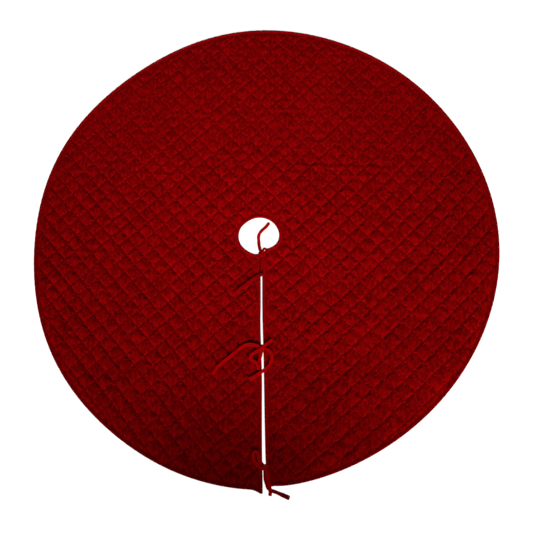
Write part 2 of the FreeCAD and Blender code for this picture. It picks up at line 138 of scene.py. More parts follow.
def bump(distance, width):
    """A bell that is 1 at no distance."""
    return np.exp(-((distance / width) ** 2))


def place(thing, body, slot, *nodes):
    """Puts a finished piece on its body and hides the CAD nodes it stands for; slot is not used."""
    if body == "both":
        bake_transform(thing)
    else:
        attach(thing, body)
    if nodes:
        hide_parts(*nodes)


# ---- materials
class Nodes:
    """A short way to write a material's node tree."""

    def __init__(self, name):
        self.material = bpy.data.materials.new(name)
        self.material.use_nodes = True
        self.tree = self.material.node_tree
        self.coordinates = self.add("TexCoord", {}).outputs["Object"]

    def fill(self, node, inputs):
        """Gives a node's sockets their values or links."""
        for key, value in inputs.items():
            if isinstance(value, bpy.types.NodeSocket):
                self.tree.links.new(value, node.inputs[key])
            else:
                node.inputs[key].default_value = value

    def add(self, kind, inputs, **settings):
        """A new shader node."""
        node = self.tree.nodes.new(f"ShaderNode{kind}")
        for key, value in settings.items():
            setattr(node, key, value)
        self.fill(node, inputs)
        return node

    def surface(self, inputs):
        """The finished material, with these inputs of its surface shader."""
        self.fill(self.tree.nodes["Principled BSDF"], inputs)
        return self.material

    def stretched(self, vector, scale):
        """A vector scaled along each axis."""
        return self.add("Mapping", {"Vector": vector, "Scale": scale}).outputs["Vector"]

    def noise(self, scale, detail=2.0, rough=0.5, stretch=(1, 1, 1)):
        """A grey noise whose grain is 1 / scale metres."""
        where = self.stretched(self.coordinates, stretch)
        inputs = {"Vector": where, "Scale": scale, "Detail": detail, "Roughness": rough}
        return self.add("TexNoise", inputs).outputs["Fac"]

    def ramp(self, value, low, high, to_low=0.0, to_high=1.0):
        """A value stretched from low..high to a new range."""
        inputs = {"Value": value, "From Min": low, "From Max": high,
                  "To Min": to_low, "To Max": to_high}
        return self.add("MapRange", inputs, interpolation_type="SMOOTHSTEP").outputs["Result"]

    def mix(self, amount, first, second, blend="MIX"):
        """A blend of two colours."""
        inputs = {0: amount, 6: first, 7: second}
        return self.add("Mix", inputs, data_type="RGBA", blend_type=blend).outputs[2]

    def math(self, operation, first, second):
        """Two values added, multiplied or otherwise joined."""
        return self.add("Math", {0: first, 1: second}, operation=operation).outputs[0]

    def relief(self, height, depth, strength=1.0, before=None):
        """A bump of a given depth in metres."""
        inputs = {"Strength": strength, "Distance": depth, "Height": height}
        if before is not None:
            inputs["Normal"] = before
        return self.add("Bump", inputs).outputs["Normal"]


def velvet(name, dark, bright, sheen, nap, quilted=False):
    """Velvet: dense pile with a soft edge glow, brushed patches and a fine grain.

    A quilted one is crushed along its seams and pleated beside them, with painted shade there.
    """
    n = Nodes(name)
    patches = n.ramp(n.noise(9.0, 3.0, 0.6), 0.3, 0.7)
    brushed = n.ramp(n.noise(150.0, 2.0, 0.6, stretch=(1, 0.5, 1)), 0.3, 0.7)
    pile = n.ramp(n.noise(1500.0, 2.0, 0.7), 0.25, 0.75)
    tone = n.math("ADD", n.math("MULTIPLY", patches, 0.15), n.math("MULTIPLY", brushed, nap))
    tone = n.math("ADD", tone, n.math("MULTIPLY", pile, 0.85 - nap))
    colour = n.mix(tone, (*dark, 1), (*bright, 1))
    crush = n.relief(brushed, 0.0005, 0.8)
    if quilted:
        cells = n.add("Attribute", {}, attribute_name="cells").outputs["Vector"]
        parts = n.add("SeparateXYZ", {"Vector": cells})
        seam_crush_and_shade, slopes, pleats = None, None, None
        for axis, stretch in (("X", (1.4, 8.0, 0)), ("Y", (8.0, 1.4, 0))):
            away = n.math("PINGPONG", parts.outputs[axis], 0.5)
            line = n.ramp(away, 0.012, 0.085, 1, 0)
            slope = n.ramp(away, 0.0, 0.32, 1, 0)
            beside = n.ramp(away, 0.02, 0.36, 1, 0)
            where = n.stretched(cells, stretch)
            ripple = n.add("TexNoise", {"Vector": where, "Scale": 1.0, "Detail": 2.0})
            ripple = n.ramp(ripple.outputs["Fac"], 0.3, 0.7)
            pleat = n.math("MULTIPLY", beside, ripple)
            seam_crush_and_shade = line if seam_crush_and_shade is None else n.math("MAXIMUM", seam_crush_and_shade, line)
            slopes = slope if slopes is None else n.math("ADD", slopes, slope)
            pleats = pleat if pleats is None else n.math("ADD", pleats, pleat)
        crush = n.relief(pleats, PLEAT_DEPTH, 1.0, crush)
        uneven = n.ramp(n.noise(38.0, 2.0, 0.6), 0.3, 0.7, 0.45, 1.0)
        seam_crush_and_shade = n.math("MULTIPLY", seam_crush_and_shade, uneven)
        # Darker along each seam: partly crushed pile, partly painted shade of the groove.
        dim = n.math("SUBTRACT", 1.0, n.math("MULTIPLY", seam_crush_and_shade, GROOVE_SHADE))
        # Darker down the cushions' slopes beside each seam: painted shade.
        dim = n.math("SUBTRACT", dim, n.math("MULTIPLY", slopes, SLOPE_SHADE))
        # Lighter where the pleat ripples stand tall, darker where the cloth lies unpleated: painted
        # light and shade of the pleats.
        dim = n.math("MULTIPLY", dim, n.ramp(pleats, 0.0, 1.3, 0.86, 1.12))
        grey = n.add("CombineColor", {"Red": dim, "Green": dim, "Blue": dim})
        colour = n.mix(1.0, colour, grey.outputs["Color"], "MULTIPLY")
    return n.surface({
        "Base Color": colour,
        "Roughness": n.ramp(brushed, 0, 1, 0.82, 0.95),
        "Specular IOR Level": 0.0,
        "Sheen Weight": sheen,
        "Sheen Roughness": 0.4,
        "Sheen Tint": (0.9, 0.0, 0.01, 1),
        "Normal": n.relief(pile, 0.0001, 0.6, crush),
    })


def woven(name, dark, bright, threads_per_metre):
    """Plain woven cotton: crossing threads, matt, with slight slubs."""
    n = Nodes(name)
    waves = []
    for stretch in ((1, 0, 0), (0, 1, 0)):
        inputs = {"Vector": n.stretched(n.coordinates, stretch), "Distortion": 0.6,
                  "Scale": threads_per_metre / 20}
        wave = n.add("TexWave", inputs, wave_type="BANDS", bands_direction="DIAGONAL")
        waves.append(wave.outputs["Fac"])
    weave = n.math("MULTIPLY", waves[0], waves[1])
    slub = n.ramp(n.noise(160.0, 2.0, 0.5, stretch=(1, 0.2, 1)), 0.3, 0.7)
    cloudy = n.ramp(n.noise(12.0, 3.0, 0.5), 0.3, 0.7)
    tone = n.math("ADD", n.math("MULTIPLY", weave, 0.5), n.math("MULTIPLY", slub, 0.25))
    tone = n.math("ADD", tone, n.math("MULTIPLY", cloudy, 0.25))
    return n.surface({
        "Base Color": n.mix(tone, (*dark, 1), (*bright, 1)),
        "Roughness": 0.9,
        "Specular IOR Level": 0.15,
        "Normal": n.relief(weave, 0.0003, 0.7),
    })


def wadding():
    """White polyester fill."""
    n = Nodes("wadding")
    fibres = n.noise(420.0, 5.0, 0.7, stretch=(1, 0.3, 1))
    return n.surface({
        "Base Color": n.mix(fibres, (0.72, 0.7, 0.66, 1), (0.88, 0.87, 0.84, 1)),
        "Roughness": 0.95,
        "Normal": n.relief(fibres, 0.001, 0.8),
    })


def sewing_thread():
    """Twisted polyester thread with a slight shine; its dark red is partly its own and partly
    painted shade for the seams it lies in.
    """
    n = Nodes("sewing_thread")
    twist = n.noise(2600.0, 1.0, 0.5, stretch=(1, 1, 0.4))
    return n.surface({
        "Base Color": n.mix(twist, (0.07, 0.0004, 0.0008, 1), (0.12, 0.0006, 0.001, 1)),
        "Roughness": 0.75,
        "Specular IOR Level": 0.1,
        "Normal": n.relief(twist, 0.0001, 0.6),
    })


# How much darker the velvet is along a seam (crushed pile and painted shade) and on the slopes
# beside it (painted shade), and its pleats' depth.
GROOVE_SHADE = 0.22
SLOPE_SHADE = 0.04
PLEAT_DEPTH = 0.0012
FACE_VELVET = velvet("face_velvet", (0.11, 0.0004, 0.0008), (0.46, 0.0012, 0.002), 0.12, 0.6, True)
BINDING_VELVET = velvet("binding_velvet", (0.19, 0.0005, 0.0009), (0.37, 0.001, 0.0017), 0.15, 0.4)
TIE_VELVET = velvet("tie_velvet", (0.36, 0.0006, 0.001), (0.6, 0.001, 0.0018), 0.15, 0.4)
BACKING_COTTON = woven("backing_cotton", (0.09, 0.002, 0.004), (0.2, 0.005, 0.009), 1400)
THREAD = sewing_thread()
WADDING = wadding()


# ---- the ties
TIE_WIDTH = 8.7 * MM
TIE_THICKNESS = 3.2 * MM


def spline_points(name, route, resolution=12):
    """The points of a smooth spline through a route's control points, in millimetres."""
    curve = bpy.data.curves.new(name, "CURVE")
    curve.dimensions = "3D"
    spline = curve.splines.new("NURBS")
    spline.points.add(len(route) - 1)
    for point, corner in zip(spline.points, route):
        point.co = (corner[0] * MM, corner[1] * MM, corner[2] * MM, 1)
    spline.order_u = 3
    spline.use_endpoint_u = True
    spline.resolution_u = resolution
    holder = bpy.data.objects.new(name, curve)
    mesh = bpy.data.meshes.new_from_object(holder)
    points = np.array([tuple(v.co) for v in mesh.vertices])
    bpy.data.objects.remove(holder)
    bpy.data.meshes.remove(mesh)
    bpy.data.curves.remove(curve)
    return points


def tape_section(sides=28):
    """A flat tape's outline across and up, from -1 to 1, with a raised welt along both edges."""
    outline = []
    for number in range(sides):
        angle = 2 * math.pi * number / sides
        across = math.copysign(abs(math.cos(angle)) ** 0.8, math.cos(angle))
        up = math.copysign(abs(math.sin(angle)) ** 0.85, math.sin(angle))
        up *= 0.55 + 0.5 * math.exp(-(((abs(across) - 0.55) / 0.26) ** 2))
        outline.append((across, up))
    return outline


def tube(name, path, width, height, material, closed=False, wobble=0.05, flare=0.0):
    """A flat tape along a path: width across, height upright."""
    if closed:
        tangents = np.roll(path, -1, 0) - np.roll(path, 1, 0)
    else:
        tangents = np.gradient(path, axis=0)
    tangents /= np.linalg.norm(tangents, axis=1)[:, None]
    across = np.cross((0.0, 0.0, 1.0), tangents)
    across /= np.linalg.norm(across, axis=1)[:, None]
    upward = np.cross(tangents, across)
    count = len(path)
    along = np.arange(count)
    draw = np.random.default_rng(len(name) * 7 + count)
    phases = draw.uniform(0, 6.28, 4)
    widths = 1 + wobble * np.sin(along * 0.31 + phases[0])
    widths += wobble * 0.6 * np.sin(along * 0.83 + phases[1])
    tilts = 1.6 * wobble * np.sin(along * 0.17 + phases[2])
    tilts += wobble * np.sin(along * 0.47 + phases[3])
    widths *= 1 + flare * bump(np.linalg.norm(path - path[-1], axis=1), 14 * MM)
    shrink = np.ones(count)
    if not closed:
        shrink[[0, -1]] = 0.8
        shrink[[1, -2]] = 0.95
    rings = []
    for side, rise in tape_section():
        lean_side = side * np.cos(tilts) - rise * np.sin(tilts) * height / width
        lean_rise = rise * np.cos(tilts) + side * np.sin(tilts) * width / height
        offset = across * (lean_side * widths * shrink * width / 2)[:, None]
        offset = offset + upward * (lean_rise * shrink * height / 2)[:, None]
        rings.append(path + offset)
    sides = len(rings)
    points = np.array(rings).transpose(1, 0, 2).reshape(-1, 3)
    number = np.arange(count * sides).reshape(count, sides)
    rows = np.vstack([number, number[:1]]) if closed else number
    faces = [ring_quads(rows)[:, [0, 3, 2, 1]]]
    if not closed:
        tips = [path[0] - tangents[0] * 0.3 * MM, path[-1] + tangents[-1] * 0.3 * MM]
        first, last = number[0], number[-1]
        start = np.column_stack([np.full(sides, len(points)), np.roll(first, -1), first])
        end = np.column_stack([np.full(sides, len(points) + 1), last, np.roll(last, -1)])
        points = np.vstack([points, tips])
        faces += [start, end]
    return add_mesh(name, points, faces, material)


def middle_height(node):
    """The height of a CAD node's middle, in millimetres."""
    low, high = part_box(node)
    return (low.z + high.z) / 2 / MM


# Heights of the ties over the floor, in millimetres, from the CAD tapes.
LOW = middle_height("middle_tie_long_tail")
HIGH = middle_height("middle_tie_left_loop")
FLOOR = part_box("bottom_tie_long_tail")[0].z / MM + 1.2
STEEP = LOW + 0.7
FOLDED = middle_height("middle_tie_stub_loop")
AT_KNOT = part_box("hole_knot")[0].z / MM - 3.0

ROUTES = {
    "hole_tie_upper_tail": [
        (6.5, -46.1, STEEP), (4.3, -37.5, 7.4), (1.8, -27, 4), (1.4, -15.5, FLOOR),
        (0.4, -4.5, FLOOR), (4, 6, FLOOR), (13, 15.5, FLOOR), (22.5, 23, FLOOR),
        (29.6, 33.4, FLOOR),
    ],
    "hole_tie_side_tail": [
        (1.4, -108.6, LOW), (-8, -113.2, LOW), (-18, -120.2, LOW), (-29.5, -127.6, LOW),
        (-41.5, -137.2, LOW), (-52.5, -145.2, LOW), (-63, -155, LOW),
    ],
    "middle_tie_long_tail": [
        (1.1, -287, LOW), (-11, -283, LOW), (-24, -280, LOW), (-40, -284.5, LOW),
        (-56, -296, LOW), (-77, -313.5, LOW), (-96, -327, LOW), (-108, -338, LOW),
        (-116, -353, LOW),
    ],
    "middle_tie_left_loop": [
        (3, -292.5, HIGH), (-4.5, -298, HIGH), (-13.5, -302, HIGH), (-21, -308, HIGH),
        (-22.5, -316.5, HIGH), (-15.5, -322.5, HIGH), (-7.5, -326.5, HIGH), (-3.5, -334, HIGH),
        (-2.5, -343, HIGH),
    ],
    "middle_tie_short_tail": [
        (6.8, -294.6, LOW), (4.6, -303.5, LOW), (1.4, -313, LOW), (-0.6, -323, LOW),
        (-3.4, -332.5, LOW), (-3.9, -339.5, LOW),
    ],
    "middle_tie_round_tail": [
        (14.2, -292.5, LOW), (23.5, -295.5, LOW), (30.2, -305, LOW), (30.8, -318, LOW),
        (24.5, -332, LOW), (12.5, -344, LOW), (-1, -352, LOW), (-13, -358.5, LOW),
        (-25.5, -366.5, LOW),
    ],
    "bottom_tie_loop": [
        (3.6, -570, LOW), (-5.5, -565, LOW), (-13.8, -554.5, LOW), (-19, -543.5, LOW),
        (-18.2, -533, LOW), (-9.2, -530.6, LOW), (-5.8, -539.5, LOW), (-4.4, -549, LOW),
        (-0.2, -556.5, LOW), (4.6, -561.6, LOW),
    ],
    "bottom_tie_long_tail": [
        (9.4, -573.1, LOW), (9.3, -586, LOW), (11.2, -599, LOW), (15.4, -611, LOW - 0.4),
        (22, -618.8, 5.2), (33, -622.5, FLOOR + 0.2), (47, -628.5, FLOOR),
        (65.5, -636, FLOOR),
    ],
    "bottom_tie_short_tail": [
        (12.4, -573.1, HIGH), (14.6, -584, HIGH), (16.4, -596, HIGH), (19.4, -607, HIGH),
        (21.2, -616, HIGH - 1.6), (21, -623, HIGH - 3.6), (20, -629.5, HIGH - 6.4),
    ],
    "hole_tie_down_loop": [
        (4.2, -55, 3.4), (3.9, -69, 1.7), (3.9, -87, 1.7), (3.9, -99, 1.7),
        (5.2, -108, 1.7), (7.8, -109, 3.2), (7.6, -87, 5.4),
        (7.6, -69, 5.6), (8.1, -55, AT_KNOT),
    ],
}
SHORT_ROUTES = {
    "middle_tie_stub_loop": [
        (13.7, -284.2, FOLDED), (21, -278.2, FOLDED), (31.5, -271.5, FOLDED),
    ],
    "hole_tie_eyelet": [
        (12.4, -49.6, FOLDED), (12.6, -42.4, FOLDED), (16.6, -38, FOLDED),
        (21.6, -41.2, FOLDED), (20.4, -47.2, FOLDED), (13.6, -51.6, FOLDED),
    ],
}


# Tie pieces given the darker binding velvet though they are the same tape as the others: painted
# shade.
SHADED_TIES = ("hole_tie_side_tail", "bottom_tie_long_tail", "hole_knot", "hole_turn_knot",
             "hole_tie_eyelet", "hole_tie_down_loop")
# How much wider a tie's cut end spreads, where it lies flat.
FLARED_ENDS = {"middle_tie_round_tail": 0.3, "bottom_tie_long_tail": 0.28}
# The tails that swing over the quilting ride a little higher once they leave their knot.
SWINGING = ("hole_tie_side_tail", "middle_tie_long_tail", "middle_tie_round_tail")
RIDE_UP = 0.8 * MM


def body_of_node(node):
    """The body that a CAD node belongs to."""
    groups = frame["record"]["behaviour"]["bodies"]
    return next(body for body, members in groups.items() if node in members)


def knot_path(centre, radius, height):
    """An overhand knot drawn tight: one closed strand that passes over and under itself."""
    turns = np.linspace(0, 2 * math.pi, 73)[:-1]
    reach = radius / 3.25
    return np.array([
        centre[0] + reach * (np.sin(turns) + 2 * np.sin(2 * turns)) * 0.98,
        centre[1] + reach * (np.cos(turns) - 2 * np.cos(2 * turns)) * 0.98,
        centre[2] - height * np.sin(3 * turns),
    ]).T


def make_knots():
    """The tied knots, each of one strand of tape."""
    knots = {}
    for name in ("hole_knot", "middle_knot", "bottom_knot", "hole_turn_knot"):
        low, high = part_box(name)
        centre = (low + high) / 2
        radius = (high.x - low.x) / 2
        path = knot_path(centre, radius - 0.9 * MM, 1.6 * MM)
        strand = (1.2 if name == "bottom_knot" else 1.05) * radius
        # Shaded knots take the darker binding velvet: painted shade.
        velvet_of_knot = BINDING_VELVET if name in SHADED_TIES else TIE_VELVET
        knots[name] = tube(name, path, strand, 2.8 * MM, velvet_of_knot, closed=True, wobble=0.03)
        place(knots[name], FRONT, "tie_tape", name)
    return knots


def make_ties():
    """Loops and tails, each a spline's tape."""
    pieces = {}
    paths = {}
    for name, route in {**ROUTES, **SHORT_ROUTES}.items():
        paths[name] = spline_points(name, route)
        if name in SWINGING:
            paths[name][:, 2] += RIDE_UP * smooth((run_length(paths[name]) - 6 * MM) / (18 * MM))
        wide, high = TIE_WIDTH, TIE_THICKNESS
        if name == "hole_tie_down_loop":
            wide, high = 3.8 * MM, 2.8 * MM
        elif name in SHORT_ROUTES:
            wide, high = 6.4 * MM, 3.2 * MM
        if name == "middle_tie_stub_loop":
            wide, high = 8.0 * MM, 4.4 * MM
        # Shaded tie pieces take the darker binding velvet: painted shade.
        velvet_of_tie = BINDING_VELVET if name in SHADED_TIES else TIE_VELVET
        flare = FLARED_ENDS.get(name, 0.0)
        pieces[name] = tube(name, paths[name], wide, high, velvet_of_tie, flare=flare)
        place(pieces[name], body_of_node(name), "tie_tape", name)
    for name in ROUTES:
        wide = 6.0 * MM if name == "hole_tie_down_loop" else 7.2 * MM
    return paths


knots = make_knots()
tie_paths = make_ties()


def make_tie_ends():
    """The short flat stretch of each tie that is sewn down beside its knot."""
    for knot in ("hole", "middle", "bottom"):
        for hand in ("left", "right"):
            name = f"{knot}_tie_{hand}_end"
            low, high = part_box(name)
            middle = (low + high) / 2
            if name == "hole_tie_left_end":
                middle.y -= 4 * MM
            start = [low.x, middle.y, middle.z]
            end = [high.x, middle.y, middle.z]
            path = np.linspace(start, end, 9)
            piece = tube(name, path, 7.2 * MM, 1.5 * MM, BINDING_VELVET, wobble=0.02)
            place(piece, FRONT, "tie_tape", name)


make_tie_ends()

# ---- the cloth's outline
BINDING_WIDTH = 8.5 * MM
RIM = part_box("back_rim_binding")[1].x
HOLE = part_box("back_hole_binding")[1].x - BINDING_WIDTH
SLIT_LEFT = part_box("slit_binding_left")[1].x
SLIT_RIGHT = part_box("slit_binding_right")[0].x

# How the rim's radius rises and falls as the cloth lies: waves per turn, height in mm, crest.
RIM_WAVES = [
    (1, 1.0, -64), (2, 2.2, 121), (3, 2.4, 12), (4, 3.1, -33), (5, 0.7, 11), (6, 1.4, -170),
    (7, 1.1, 6),
]
# The hole's radius in mm, by angle from +X; it is drawn in to the right of the slit.
HOLE_RADII = [
    (-95, 51.5), (-84, 51.5), (-77, 51.0), (-70, 48.0), (-64, 44.5), (-58, 43.0), (-50, 45.6),
    (-40, 48.8),
    (-30, 52.0), (-20, 54.0), (-10, 54.8), (0, 54.9), (10, 54.0), (20, 52.8), (30, 51.8),
    (45, 50.2), (60, 48.8), (75, 47.6), (90, 46.7), (105, 46.2), (120, 46.0), (130, 46.3),
    (140, 47.3), (150, 48.8), (160, 50.0), (175, 50.7), (190, 51.4), (205, 51.3), (220, 50.7),
    (235, 50.0), (250, 50.6), (258, 51.3), (265, 51.5),
]
# x of the slit's edges in mm, by distance from the hole's centre.
LEFT_EDGE = [
    (40, 3.8), (60, 2.8), (100, 2.8), (114, 5.2), (120, 5.3), (180, 4.6), (220, 3.4), (250, 3.4),
    (290, 4.0), (340, 5.0),
    (380, 5.1), (420, 4.3), (480, 3.4), (540, 2.9), (590, 3.4), (625, 3.2),
]
RIGHT_EDGE = [
    (30, 9.6), (120, 9.0), (180, 8.2), (220, 8.1), (260, 8.7), (320, 9.6), (380, 9.7),
    (460, 9.8), (520, 10.2), (545, 10.5), (560, 11.0), (580, 13.0), (600, 17.0), (625, 22.5),
]


def from_table(table, value):
    """A table's value, read between its rows."""
    rows = np.array(table)
    return np.interp(value, rows[:, 0], rows[:, 1])


def rim_radius(angle):
    """The rim's distance from the hole's centre, at an angle from +X."""
    radius = np.full_like(angle, RIM - 2.3 * MM)
    for waves, size, crest in RIM_WAVES:
        radius = radius + size * MM * np.cos(waves * angle - math.radians(crest))
    from_slit = np.angle(np.exp(1j * (angle + math.pi / 2))) * RIM
    left_tip = 3.0 * MM * bump(from_slit, 90 * MM) + 8.0 * MM * bump(from_slit, 14 * MM)
    left_corner = left_tip * (from_slit < 4 * MM)
    right_corner = 5.0 * MM * bump(from_slit, 40 * MM) * (from_slit >= 4 * MM)
    return radius + left_corner - right_corner


def hole_radius(angle):
    """The hole's radius, at an angle from +X."""
    turned_angle = np.degrees(angle + math.radians(95)) % 360 - 95
    return from_table(HOLE_RADII, turned_angle) * MM


def slit_left(y):
    """x of the slit's left edge."""
    return from_table(LEFT_EDGE, -y / MM) * MM


def slit_right(y):
    """x of the slit's right edge, which spreads towards the rim."""
    return from_table(RIGHT_EDGE, -y / MM) * MM


def hole_inset(x, y):
    """Distance from the hole's edge into the cloth."""
    return np.hypot(x, y) - hole_radius(np.arctan2(y, x))


def slit_inset(x, y):
    """Distance from the slit's nearer edge into the cloth, for points in front."""
    inset = np.maximum(slit_left(y) - x, x - slit_right(y))
    return np.where(y < 0, inset, 1.0)


def inset(x, y):
    """Distance from the nearest edge into the cloth."""
    rim = rim_radius(np.arctan2(y, x)) - np.hypot(x, y)
    return np.minimum(np.minimum(rim, hole_inset(x, y)), slit_inset(x, y))


# ---- the quilting's lattice
RISING_PITCH = 34.8 * MM
FALLING_PITCH = 32.8 * MM
ACROSS_RISING = (math.cos(math.radians(-49.6)), math.sin(math.radians(-49.6)))
ACROSS_FALLING = (math.cos(math.radians(41.9)), math.sin(math.radians(41.9)))
HALF_METRE = 0.5


def wander(x, y):
    """How far each family of lines strays from its straight place, in parts of its pitch."""
    u, v = x / HALF_METRE, y / HALF_METRE
    rising = (0.094 + 0.129 * u + 0.139 * v - 0.459 * u * v - 0.163 * u**2 + 0.043 * v**2
              - 0.274 * u**2 * v - 0.113 * u * v**2 - 0.268 * u**3 + 0.127 * v**3)
    falling = (0.617 - 0.039 * u - 0.124 * v - 0.115 * u * v + 0.090 * u**2 - 0.151 * v**2
               - 0.206 * u**2 * v - 0.057 * u * v**2 + 0.012 * u**3 + 0.128 * v**3)
    return rising, falling


def lattice_place(rising, falling):
    """The point where lattice lines number rising and falling cross. Whole numbers are seams."""
    (ca, sa), (cb, sb) = ACROSS_RISING, ACROSS_FALLING
    area = ca * sb - sa * cb
    x = np.zeros_like(rising)
    y = np.zeros_like(rising)
    for _ in range(6):
        stray_a, stray_b = wander(x, y)
        a = (rising + 0.5 + stray_a) * RISING_PITCH
        b = (falling + 0.5 + stray_b) * FALLING_PITCH
        x = (a * sb - b * sa) / area
        y = (b * ca - a * cb) / area
    return x, y


# ---- the cloth's relief
SEAM_HEIGHT = 4.9 * MM
CROWN = 4.1 * MM
LIFT_WAVES = [
    (7.1, 2.3, 0.4, 0.8), (-4.2, 8.8, 2.0, 0.7), (11.0, -6.0, 4.1, 0.45),
    (3.0, 13.5, 1.1, 0.4), (-13.0, -9.0, 5.2, 0.3),
]


def lift(x, y):
    """How far the whole quilt lies off the floor: long shallow waves, never below it."""
    height = np.zeros_like(x)
    total = 0.0
    for wave_x, wave_y, phase, size in LIFT_WAVES:
        height = height + size * MM * np.sin(wave_x * x + wave_y * y + phase)
        total += size * MM
    calm = smooth((np.hypot(x - SLIT_LEFT, np.maximum(y, 0)) - 0.03) / 0.12)
    return (height + total) * 0.5 * calm


# Creases left by how the skirt was folded in its pack: two ends and the sink of each.
CREASES = [
    ((0.050, 0.293), (0.030, 0.612), 1.1),
    ((0.056, 0.293), (0.041, 0.612), 0.7),
    ((-0.308, 0.247), (-0.310, 0.451), 0.9),
    ((0.089, 0.198), (0.381, 0.177), 1.1),
    ((0.089, 0.188), (0.381, 0.165), -0.6),
]


def creases(x, y):
    """The sink of the packing creases."""
    sink = np.zeros_like(x)
    for (x0, y0), (x1, y1), depth in CREASES:
        run = np.array([x1 - x0, y1 - y0])
        length = np.linalg.norm(run)
        run = run / length
        along = (x - x0) * run[0] + (y - y0) * run[1]
        aside = (x - x0) * run[1] - (y - y0) * run[0]
        aside = aside + 2.5 * MM * np.sin(along * 95)
        ends = smooth(along / 0.04) * smooth((length - along) / 0.04)
        sink = sink - depth * MM * bump(aside, 3.2 * MM) * ends
    return sink


CELL_STEPS = 18
VARIANT_SIDE = 6


def cell_ticks():
    """Places of a cell's mesh lines from 0 to 1, closer together beside the seams."""
    even = np.arange(CELL_STEPS + 1) / CELL_STEPS
    return even - 0.35 * np.sin(2 * math.pi * even) / (2 * math.pi)


def cell_span(i, j):
    """Where one cell's points are in a grid of many cells."""
    rows = slice(i * CELL_STEPS, (i + 1) * CELL_STEPS + 1)
    columns = slice(j * CELL_STEPS, (j + 1) * CELL_STEPS + 1)
    return rows, columns


# The velvet as it is blown up, ten times its size: soft, a little too large for its cell, pinned.
CLOTH = {
    "quality": 6, "mass": 0.15, "tension_stiffness": 12, "compression_stiffness": 12,
    "shear_stiffness": 4, "bending_stiffness": 0.15, "tension_damping": 8,
    "compression_damping": 8, "shrink_min": -0.055, "use_pressure": True,
    "uniform_pressure_force": 5, "vertex_group_mass": "pins", "pin_stiffness": 5,
}
CLOTH_FRAMES = 24


def simulated_cells():
    """A patch of quilt blown up by cloth simulation, held along its seams, cut into its cells."""
    ticks = cell_ticks()
    places = np.concatenate([number + ticks[:-1] for number in range(VARIANT_SIDE)])
    places = np.append(places, VARIANT_SIDE)
    scale = 10.0
    us = places * RISING_PITCH * scale
    vs = places * FALLING_PITCH * scale
    grid_u, grid_v = np.meshgrid(us, vs, indexing="ij")
    count = len(places)
    start = np.stack([grid_u, grid_v, np.zeros_like(grid_u)], -1)
    seam = np.zeros(count, bool)
    seam[::CELL_STEPS] = True
    held = seam[:, None] | seam[None, :]
    jitter = rng.normal(0, 1, (count, count))
    for _ in range(2):
        jitter = (jitter + np.roll(jitter, 1, 0) + np.roll(jitter, -1, 0)
                  + np.roll(jitter, 1, 1) + np.roll(jitter, -1, 1)) / 5
    start[..., 2] = np.where(held, 0, 0.004 + 0.012 * jitter)
    quads = grid_quads(count).reshape(-1, 4)
    patch = add_mesh("patch", start.reshape(-1, 3), [quads], FACE_VELVET)
    pins = patch.vertex_groups.new(name="pins")
    pins.add(np.flatnonzero(held).tolist(), 1.0, "REPLACE")
    cloth = patch.modifiers.new("Cloth", "CLOTH")
    for key, value in CLOTH.items():
        setattr(cloth.settings, key, value)
    cloth.settings.effector_weights.gravity = 0
    cloth.collision_settings.use_collision = False
    cloth.collision_settings.use_self_collision = False
    cloth.point_cache.frame_start = 1
    cloth.point_cache.frame_end = CLOTH_FRAMES
    for step in range(1, CLOTH_FRAMES + 1):
        scene.frame_set(step)
    graph = bpy.context.evaluated_depsgraph_get()
    result = patch.evaluated_get(graph).to_mesh()
    moved = np.zeros(count * count * 3, np.float32)
    result.vertices.foreach_get("co", moved)
    bpy.data.objects.remove(patch)
    scene.frame_set(1)
    start[..., 2] = 0
    moved = (moved.reshape(count, count, 3) - start) / scale
    moved[held] = 0
    every = range(VARIANT_SIDE)
    cells = np.array([moved[cell_span(i, j)] for i in every for j in every])
    tallest = np.median(cells[..., 2].max(axis=(1, 2)))
    print("cell crowns in mm:", round(float(tallest) / MM, 2))
    cells[..., 2] *= CROWN / max(tallest, 1e-6)
    return np.clip(cells, [-2.5 * MM, -2.5 * MM, -0.4 * MM], [2.5 * MM, 2.5 * MM, 1.35 * CROWN])


CELLS = simulated_cells()
REACH = 20


def turned(cell, flip_u, flip_v):
    """A cell mirrored one way or the other."""
    if flip_u:
        cell = cell[::-1] * (-1, 1, 1)
    if flip_v:
        cell = cell[:, ::-1] * (1, -1, 1)
    return cell


def relief_grid():
    """The displaced lattice: every mesh point's cell-borne shift, over the whole skirt."""
    side = 2 * REACH * CELL_STEPS + 1
    shift = np.zeros((side, side, 3))
    for i in range(2 * REACH):
        for j in range(2 * REACH):
            cell = CELLS[rng.integers(len(CELLS))]
            cell = turned(cell, rng.random() < 0.5, rng.random() < 0.5)
            shift[cell_span(i, j)] = cell * (1, 1, rng.uniform(0.85, 1.12))
    return shift


def swept(x, y):
    """Whether points lie where a tail passes as it swings, by distance from its pivot."""
    joints = frame["record"]["behaviour"]["joints"]
    inside = np.zeros(x.shape, bool)
    for name in SWINGING:
        joint = next(each for each in joints if each["child"] == body_of_node(name))
        pivot_x, pivot_y = joint["pos_m"][:2]
        away = tie_paths[name][:, :2] - (pivot_x, pivot_y)
        reach = np.hypot(away[:, 0], away[:, 1])
        order = np.argsort(reach)
        bearing = np.unwrap(np.arctan2(away[:, 1], away[:, 0]))
        own = np.maximum(np.hypot(x - pivot_x, y - pivot_y), 1 * MM)
        turn = np.arctan2(y - pivot_y, x - pivot_x) - np.interp(own, reach[order], bearing[order])
        turn = np.angle(np.exp(1j * turn))
        low, high = np.radians(joint["range_deg"])
        aside = 6 * MM / own
        inside |= (own < reach.max() + 4 * MM) & (turn > low - aside) & (turn < high + aside)
    return inside


